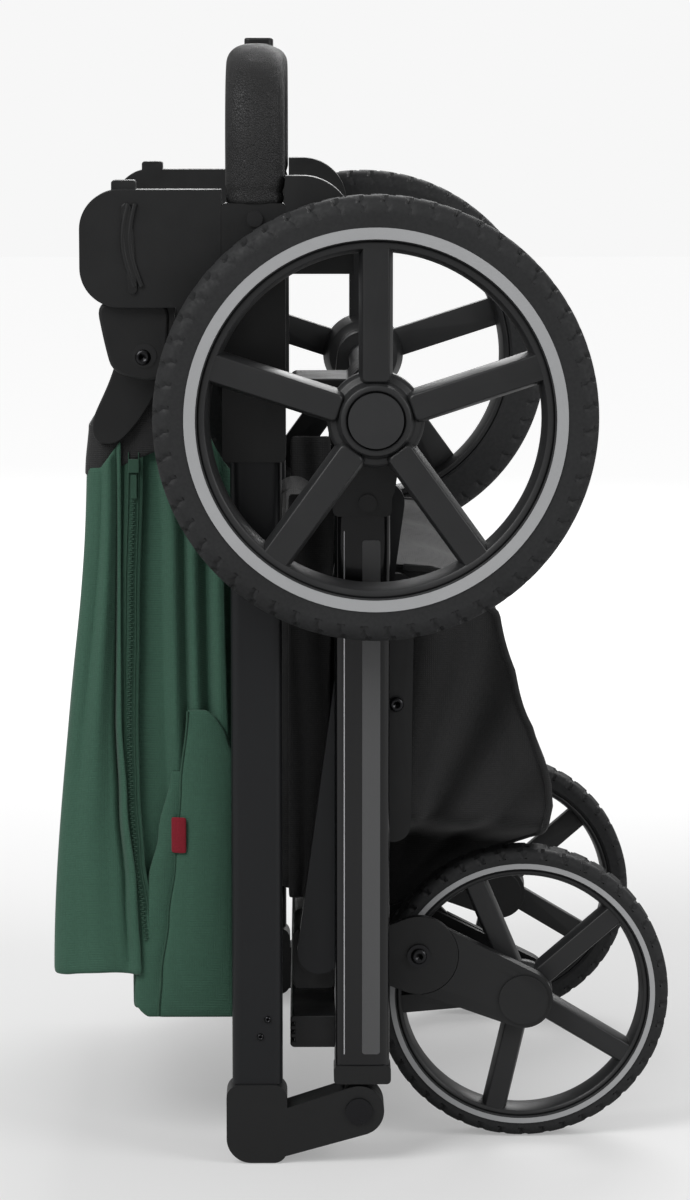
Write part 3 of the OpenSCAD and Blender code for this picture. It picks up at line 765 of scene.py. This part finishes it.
front_y = outer_y("hood_front_arms", 1)
rear_y = outer_y("hood_rear_arms", 1)
for side, sign in SIDES:
    front_arm = plate("hood_front_arm_" + side, rounded(FRONT_ARM, 10),
                      sign * (front_y - ARM_THICK), sign * front_y, "hood_front", "black_plastic")
    rear_arm = plate("hood_rear_arm_" + side, rounded(REAR_ARM, 8),
                     sign * (rear_y - ARM_THICK), sign * rear_y, "hood_rear", "black_plastic")
    if sign < 0:
        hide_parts("hood_front_arms")
        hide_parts("hood_rear_arms")


# ---- Hood ----

# Half of each layer's width, in millimetres
FRONT_HALF, REAR_HALF, GUSSET_HALF, BELLOWS_HALF = 213.2, 206.8, 211.9, 210.2
# Where each layer's edges lie, as (height, x) in millimetres
FRONT_LEFT = [(118, -172.5), (488, -147)]
FRONT_RIGHT = [(122, -113), (180, -116), (240, -122), (300, -125.5), (488, -125)]
REAR_LEFT = [(95, -119), (490, -122)]
REAR_RIGHT = [(95, -49), (420, -56), (490, -72)]
GUSSET_LEFT = [(463, -148.6), (497, -146), (551, -128)]
GUSSET_RIGHT = [(463, -100), (551, -96)]
BELLOWS_FROM, BELLOWS_TO = -117.5, -126
BELLOWS_TOP, BELLOWS_LOW, BELLOWS_BEND = 486, 131, 8


def u_rows(z_low, z_top, left, right, half, offset, belly, count=56, side_n=34, front_n=30):
    """Rows of a U: near side wall, rounded corner, front wall, corner, far side wall.

    z_low and z_top give the hem heights from s, which is 0 at the right edge and 1 at the left.
    offset pushes the side walls out and belly the front wall, from their places in the layer."""
    rows = []
    corner = 9.0
    for i in range(count):
        t = i / (count - 1)
        near = []
        for j in range(side_n):
            s = j / (side_n - 1)
            z = lerp(z_low(s), z_top(s), t)
            x = lerp(along(right, z), along(left, z) + corner, s)
            near.append((x, -half - offset(s, t), z))
        z = lerp(z_low(1), z_top(1), t)
        front_x = along(left, z)
        bend = [(front_x + corner * (1 - math.sin(a)), -half + corner * (1 - math.cos(a)), z)
                for a in (math.radians(d) for d in (30, 60, 85))]
        middle = []
        for j in range(1, front_n):
            q = j / front_n
            middle.append((front_x - belly(q, t), lerp(-half + corner, half - corner, q), z))
        row = near + bend + middle
        row += [(x, -y, z) for x, y, z in reversed(near + bend)]
        rows.append(row)
    return rows


def front_offset(s, t):
    body = math.sin(math.pi * t) ** 0.5
    panel = 3.4 * math.sin(math.pi * smoothstep(0.2, 1.0, s))
    valley = -6.5 * hump(s, 0.17, 0.06) * body
    ridge = 2.4 * hump(s, 0.05, 0.07)
    soft = 1.3 * math.sin(8 * s + 5 * t) * body
    return panel + valley + ridge + soft


def front_belly(q, t):
    sag = 3.0 * math.sin(math.pi * q) * math.sin(math.pi * t)
    gathers = 2.2 * math.sin(22 * q + 2 * math.sin(5 * t)) * t ** 1.5
    slack = 1.4 * math.sin(7 * q + 6 * t) * math.sin(math.pi * q)
    return sag + (gathers + slack) * (1 - smoothstep(0.82, 0.97, t))


def rear_offset(s, t):
    fade = smoothstep(0.2, 0.55, t)
    folds = (4.2 * hump(s, 0.60, 0.07) - 3.6 * hump(s, 0.47, 0.05) + 3.8 * hump(s, 0.36, 0.07)
             - 5.0 * hump(s, 0.22, 0.07) + 2.0 * hump(s, 0.08, 0.06)) * fade
    return folds - 2.0 * smoothstep(0.66, 0.74, s) + 0.8 * math.sin(6 * s + 4 * t)


def rear_belly(q, t):
    return 1.5 * math.sin(17 * q) * math.sin(math.pi * t) - 1.0


rows = u_rows(lambda s: 121 + 2 * math.sin(3 * s), lambda s: lerp(487, 469, s),
              FRONT_LEFT, FRONT_RIGHT, FRONT_HALF, front_offset, front_belly)
front = sheet_mesh("hood_front_cloth", rows, 2.2, MATERIALS["green_fabric"], "hood_front")
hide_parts("hood_front_fabric")

rows = u_rows(lambda s: 97 + 2 * math.sin(4 * s), lambda s: lerp(421, 489, smoothstep(0, 0.6, s)),
              REAR_LEFT, REAR_RIGHT, REAR_HALF, rear_offset, rear_belly)
rear = sheet_mesh("hood_rear_cloth", rows, 2.0, MATERIALS["green_fabric"], "hood_rear")
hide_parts("hood_rear_fabric")


def gusset_low(s):
    return lerp(480, 463, s)


def gusset_top(s):
    return 497 + 54 * (1 - smoothstep(0.25, 0.95, s))


rows = u_rows(gusset_low, gusset_top, GUSSET_LEFT, GUSSET_RIGHT, GUSSET_HALF,
              lambda s, t: 0.9 * math.sin(9 * s) * math.sin(math.pi * t) + 0.4,
              lambda q, t: 0.8 * math.sin(25 * q) * math.sin(math.pi * t), 18, 24, 30)
sheet_mesh("hood_gusset", rows, 1.6, MATERIALS["black_fabric"], "hood_front")


def hood_bellows():
    """The pleat between the hood's layers."""
    rows, count, half, bend_r = [], 25, BELLOWS_HALF, BELLOWS_BEND
    for i in range(count):
        t = i / (count - 1)
        pleat = 0.5 * math.sin(math.pi * 6 * t)
        x = lerp(BELLOWS_FROM, BELLOWS_TO, t)
        side_wall = [(x, -half - 0.3 * pleat, lerp(BELLOWS_TOP, BELLOWS_LOW, j / 26))
                     for j in range(27)]
        bend = [(x, -half + bend_r - bend_r * math.cos(math.radians(d)),
                 BELLOWS_LOW - bend_r * math.sin(math.radians(d)) - pleat) for d in (30, 60, 90)]
        middle = [(x, lerp(-half + bend_r, half - bend_r, j / 24), BELLOWS_LOW - bend_r - pleat)
                  for j in range(1, 24)]
        near = side_wall + bend
        rows.append(near + middle + [(px, -py, pz) for px, py, pz in reversed(near)])
    verts = [at(*p) for row in rows for p in row]
    obj = link_mesh("hood_bellows", verts, grid_faces(count, len(rows[0])))
    thickened(obj, 0.8 * MM)
    bake_modifiers(obj)
    paint(obj, MATERIALS["green_fabric"])
    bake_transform(obj)


hood_bellows()

# Lines on the rear layer's side walls, as (height, x) in millimetres
ZIP = [(144, -110), (165, -112), (203, -117), (248, -119.7), (289, -120.4), (369, -118.9),
       (478, -116)]
FLAP_LEFT = [(92, -102), (120, -100), (160, -95), (200, -90), (250, -86), (303, -81)]
FLAP_RIGHT = [(92, -50), (270, -50), (286, -54.6), (298, -61), (304, -69)]
PANEL_LEFT = [(91, -109), (98, -117), (106, -118), (147, -114.7), (187, -108), (219, -101),
              (262, -92)]
PANEL_RIGHT = [(91, -97), (120, -98), (160, -93), (200, -88), (250, -84), (262, -83)]
TEETH_LOW, TEETH_TOP, TEETH_PITCH = 146.0, 474, 1.5
SLIDER_Z = 470
# The pull tab's cross-section, as (x, distance from the middle) in millimetres
TAB = ((-92.5, 213.5), (-89, 215.2), (-85.5, 216.2), (-82, 216.5))


def wall_panel(name, sign, left, right, z0, z1, y, crown, mat, thick=1.6, columns=14,
               count=40):
    """A cloth panel sewn on the rear layer's side wall, puffed out by crown."""
    rows = []
    for i in range(count):
        t = i / (count - 1)
        z = lerp(z0, z1, t)
        xl, xr = along(left, z), along(right, z)
        row = []
        for j in range(columns):
            s = j / (columns - 1)
            puff = crown * math.sin(math.pi * s) ** 0.5 * math.sin(math.pi * t) ** 0.4
            row.append((lerp(xl, xr, s), sign * (y + puff), z))
        rows.append(row)
    return sheet_mesh(name, rows, thick, mat, "hood_rear")


def line_on_wall(name, sign, points, y, z0, z1, radius, mat, body, count=60):
    path = []
    for i in range(count + 1):
        z = lerp(z0, z1, i / count)
        path.append(at(along(points, z), sign * y, z))
    return tube(name, path, radius * MM, mat, body)


def zip_teeth(side, sign):
    """Two interlocking rows of small moulded teeth, and the slider with its pull."""
    bm = bmesh.new()

    def block(centre, size):
        matrix = Matrix.Translation(centre) @ Matrix.Diagonal((*(v * MM for v in size), 1))
        bmesh.ops.create_cube(bm, size=1, matrix=matrix)

    z, k = TEETH_LOW, 0
    while z < TEETH_TOP:
        x = along(ZIP, z) + (0.55 if k % 2 else -0.55)
        block(at(x, sign * 214.3, z), (2.3, 1.2, 0.8))
        z += TEETH_PITCH
        k += 1
    centre = at(along(ZIP, SLIDER_Z), sign * 215.0, SLIDER_Z)
    for size, lift in (((7, 2.6, 9), 0.0), ((4, 1.2, 16), -14.0)):
        block(centre + Vector((0, 0, lift * MM)), size)
    obj = link_bmesh("hood_zip_" + side, bm)
    bevelled(obj, 0.25 * MM, 2)
    paint(obj, THREAD)
    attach(obj, "hood_rear")


for side, sign in SIDES:
    left = [(z, x - 6.5) for z, x in ZIP]
    right = [(z, x + 6.5) for z, x in ZIP]
    wall_panel("hood_zip_tape_" + side, sign, left, right, 140, 481, 211.8, 0.9, ZIP_TAPE,
               1.2, 10, 60)
    zip_teeth(side, sign)
    for k, shift in enumerate((-3.4, 3.4)):
        stitch = [(z, x + shift) for z, x in ZIP]
        line_on_wall(f"hood_zip_stitch_{side}_{k}", sign, stitch, 213.5, 143, 479, 0.35, THREAD,
                     "hood_rear")
    wall_panel("hood_panel_" + side, sign, PANEL_LEFT, PANEL_RIGHT, 91, 262, 210.3, 3.0,
               MATERIALS["green_fabric"], 1.8)
    wall_panel("hood_flap_" + side, sign, FLAP_LEFT, FLAP_RIGHT, 91, 304, 211.0, 4.6,
               MATERIALS["green_fabric"], 1.8, 20, 60)
    line_on_wall("hood_flap_piping_" + side, sign, FLAP_LEFT, 212.4, 92, 303, 0.9, THREAD,
                 "hood_rear")

rows = [[(x, -(y + 0.5 * math.sin(3 * i / 9)), lerp(206, 231, i / 9)) for x, y in TAB]
        for i in range(10)]
sheet_mesh("hood_tab", rows, 0.9, PULL_TAB, "hood_rear")


# ---- Basket ----

# The basket's edge seen from the side, as (x, z) in millimetres, from the top to the foot
RIM_LINE = [(58, 401), (84, 399), (105, 393), (128, 368), (137, 335), (147, 300), (162, 262),
            (166, 236), (161, 212), (152, 200), (126, 183), (100, 167), (78, 154), (58, 145)]


def basket_half(z):
    """Half of the basket's width at a height: its foot passes between the front wheels."""
    return lerp(118, 205, smoothstep(192, 226, z))


def line_point(u):
    """A place on the basket's edge line at share u of its length."""
    lengths = [math.dist(a, b) for a, b in zip(RIM_LINE, RIM_LINE[1:])]
    want = u * sum(lengths)
    for (a, b), length in zip(zip(RIM_LINE, RIM_LINE[1:]), lengths):
        if want <= length:
            return lerp(a[0], b[0], want / length), lerp(a[1], b[1], want / length)
        want -= length
    return RIM_LINE[-1]


def basket_fold(x, z, edge):
    """Folds of the side wall that fan out from the basket's lower back corner."""
    angle = math.degrees(math.atan2(z - 150, x - 50))
    reach = math.hypot(x - 50, z - 150)
    deep = 6.5 * math.sin(math.radians(angle * 15)) + 2.0 * math.sin(math.radians(angle * 31 + 40))
    fade = smoothstep(10, 90, reach) * (1 - 0.75 * smoothstep(190, 260, reach))
    return deep * fade * edge - 1.5 * edge


def basket_rows():
    rows = []
    steps, side_n, wall_n = 72, 26, 26
    for i in range(steps + 1):
        u = i / steps
        x1, z1 = line_point(u)
        z0 = lerp(401, 150, smoothstep(0.05, 1.0, u)) if u < 1 else 145
        half1 = basket_half(z1)
        half0 = basket_half(z0 - 6)
        row = []
        for j in range(side_n):
            s = j / (side_n - 1)
            x, z = lerp(57.5, x1, s), lerp(z0, z1, s)
            edge = math.sin(math.pi * min(1, s * 1.05)) ** 0.6 if s < 0.95 else 0.15
            fold = basket_fold(x, z, edge) * min(1, half1 / 190)
            row.append((x, -lerp(half0, half1, s) + 1.2 - fold, z))
        wall = []
        for j in range(1, wall_n):
            q = j / wall_n
            dip = 4.5 * math.sin(math.pi * q) * math.sin(math.pi * u)
            dip += 1.5 * math.sin(20 * q + 6 * u)
            dip *= 1 if 0.03 < u < 0.97 else 0.2
            inward = Vector((x1 - 57, z1 - 260)).normalized() * dip
            wall.append((x1 - inward.x, lerp(-half1, half1, q), z1 - inward.y))
        rows.append(row + wall + [(x, -y, z) for x, y, z in reversed(row)])
    return rows


basket = sheet_mesh("basket_bag", basket_rows(), 2.4, MATERIALS["black_fabric"], "lower_rail")
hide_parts("basket")
for side, sign in SIDES:
    path = []
    for i in range(121):
        u = 0.02 + 0.96 * i / 120
        x, z = line_point(u)
        scallop = 1.3 * abs(math.sin(u * math.pi * 9))
        path.append(at(x - scallop, sign * (basket_half(z) - 0.5), z))
    tube("basket_piping_" + side, path, 2.4 * MM, MATERIALS["black_fabric"], "lower_rail")


# ---- Seat pads ----

PAD_VOXEL = 6 * MM
PAD_PRESSURE = 4
PAD_FRAMES = 20
CROSS_CHANNELS = (-0.35, 0.35)


def pad(node, body, inset, cap, channels):
    """A stuffed pad: the CAD solid's space, swollen by a short cloth simulation, then quilted."""
    low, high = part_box(node)
    low = low + Vector(inset) * MM
    high = high - Vector(inset) * MM
    size, mid = high - low, (low + high) / 2
    bm = bmesh.new()
    bmesh.ops.create_cube(bm, size=1, matrix=Matrix.Translation(mid) @ Matrix.Diagonal((*size, 1)))
    obj = link_bmesh(node + ".pad", bm)
    bpy.context.view_layer.objects.active = obj
    bevelled(obj, min(size) * 0.42, 3)
    remesh = obj.modifiers.new("remesh", "REMESH")
    remesh.mode = "VOXEL"
    remesh.voxel_size = PAD_VOXEL
    bake_modifiers(obj)
    rest = [v.co.copy() for v in obj.data.vertices]
    sim = obj.modifiers.new("cloth", "CLOTH")
    sim.settings.use_pressure = True
    sim.settings.uniform_pressure_force = PAD_PRESSURE
    sim.settings.effector_weights.gravity = 0
    sim.settings.quality = 5
    sim.point_cache.frame_start, sim.point_cache.frame_end = 1, PAD_FRAMES
    for step in range(1, PAD_FRAMES + 1):
        bpy.context.scene.frame_set(step)
    depsgraph = bpy.context.evaluated_depsgraph_get()
    swollen = obj.evaluated_get(depsgraph).to_mesh()
    moved = [v.co.copy() for v in swollen.vertices]
    obj.evaluated_get(depsgraph).to_mesh_clear()
    obj.modifiers.clear()
    bpy.context.scene.frame_set(1)
    for vertex, old, new in zip(obj.data.vertices, rest, moved):
        step = new - old
        vertex.co = old + (step if step.length < cap * MM else step.normalized() * cap * MM)
    for vertex in obj.data.vertices:
        co = vertex.co
        q = (co.y - mid.y) / (size.y / 2)
        r = (co.z - mid.z) / (size.z / 2)
        depth = (sum(hump(q, c, 0.022) for c in channels)
                 + sum(hump(r, c, 0.03) for c in CROSS_CHANNELS))
        pull = min(0.45, 0.4 * depth)
        vertex.co.x = co.x + (mid.x - co.x) * pull
    obj.data.polygons.foreach_set("use_smooth", [True] * len(obj.data.polygons))
    sub = obj.modifiers.new("smooth", "SUBSURF")
    sub.levels = sub.render_levels = 1
    paint(obj, MATERIALS["black_fabric"])
    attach(obj, body)
    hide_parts(node)
    return obj


pad("seat_back", "handle_frame", (3.5, 4, 4), 4.0, (-0.62, -0.2, 0.2, 0.62))
pad("seat_base", "handle_frame", (4.5, 5, 5), 4.0, (-0.5, 0.5))


# ---- Studio ----

CAMERA_PLACE = (-0.038, -2.791, 0.738)
CAMERA_TILT, CAMERA_TURN = 7.928, -0.564
SKY_SEEN, SKY_LIGHT = 0.93, 0.36
FLOOR_REACH, FLOOR_DROP = 12, 0.0005
# Each lamp's name, place, size and power
LAMPS = (("key", (-1.9, -1.9, 2.6), 1.8, 75), ("fill", (2.6, -1.5, 1.6), 1.4, 32),
         ("back", (0.5, 2.6, 2.2), 2.0, 60))


def camera_and_light():
    """The camera of the side view, a soft key, a fill, a back light and a pale floor."""
    camera = bpy.data.objects.new("camera", bpy.data.cameras.new("camera"))
    bpy.context.collection.objects.link(camera)
    camera.data.sensor_fit = "VERTICAL"
    camera.data.sensor_height = 24
    camera.data.lens = 77.36
    camera.data.clip_end = 50
    camera.location = CAMERA_PLACE
    camera.rotation_euler = (math.radians(90 - CAMERA_TILT), 0, math.radians(CAMERA_TURN))
    bpy.context.scene.camera = camera
    bpy.context.scene.view_settings.view_transform = "Standard"
    world = bpy.data.worlds.new("studio")
    bpy.context.scene.world = world
    world.use_nodes = True
    sky = world.node_tree
    seen = add(sky, "ShaderNodeBackground", Strength=SKY_SEEN)
    seen.inputs["Color"].default_value = (1, 1, 1, 1)
    sky.nodes["Background"].inputs["Color"].default_value = (1, 1, 1, 1)
    sky.nodes["Background"].inputs["Strength"].default_value = SKY_LIGHT
    ray = sky.nodes.new("ShaderNodeLightPath")
    mix = sky.nodes.new("ShaderNodeMixShader")
    sky.links.new(ray.outputs["Is Camera Ray"], mix.inputs[0])
    sky.links.new(sky.nodes["Background"].outputs[0], mix.inputs[1])
    sky.links.new(seen.outputs[0], mix.inputs[2])
    sky.links.new(mix.outputs[0], sky.nodes["World Output"].inputs["Surface"])
    for name, place, size, power in LAMPS:
        lamp = bpy.data.lights.new(name, "AREA")
        lamp.size = size
        lamp.energy = power
        obj = bpy.data.objects.new(name, lamp)
        bpy.context.collection.objects.link(obj)
        obj.location = place
        aim = Vector((0, 0, 0.4)) - Vector(place)
        obj.rotation_euler = aim.to_track_quat("-Z", "Y").to_euler()
    reach = FLOOR_REACH
    corners = [(-reach, -reach, 0), (reach, -reach, 0), (reach, reach, 0), (-reach, reach, 0)]
    floor = link_mesh("floor", corners, [(0, 1, 2, 3)], False)
    floor.location.z = -FLOOR_DROP
    mat, tree, shader = new_material("floor", (0.5, 0.5, 0.5), 0.8)
    spot = tree.nodes.new("ShaderNodeTexCoord")
    far = add(tree, "ShaderNodeVectorMath", operation="LENGTH")
    tree.links.new(spot.outputs["Object"], far.inputs[0])
    pale = tree.nodes.new("ShaderNodeMapRange")
    for socket, value in {"From Min": 0.5, "From Max": 3.0, "To Min": 0.3, "To Max": 0.75}.items():
        pale.inputs[socket].default_value = value
    tree.links.new(far.outputs["Value"], pale.inputs["Value"])
    ray = tree.nodes.new("ShaderNodeLightPath")
    glow = math_node(tree, "MULTIPLY", pale.outputs["Result"], ray.outputs["Is Camera Ray"])
    tree.links.new(glow, shader.inputs["Emission Strength"])
    shader.inputs["Emission Color"].default_value = (1, 1, 1, 1)
    floor.data.materials.append(mat)


camera_and_light()
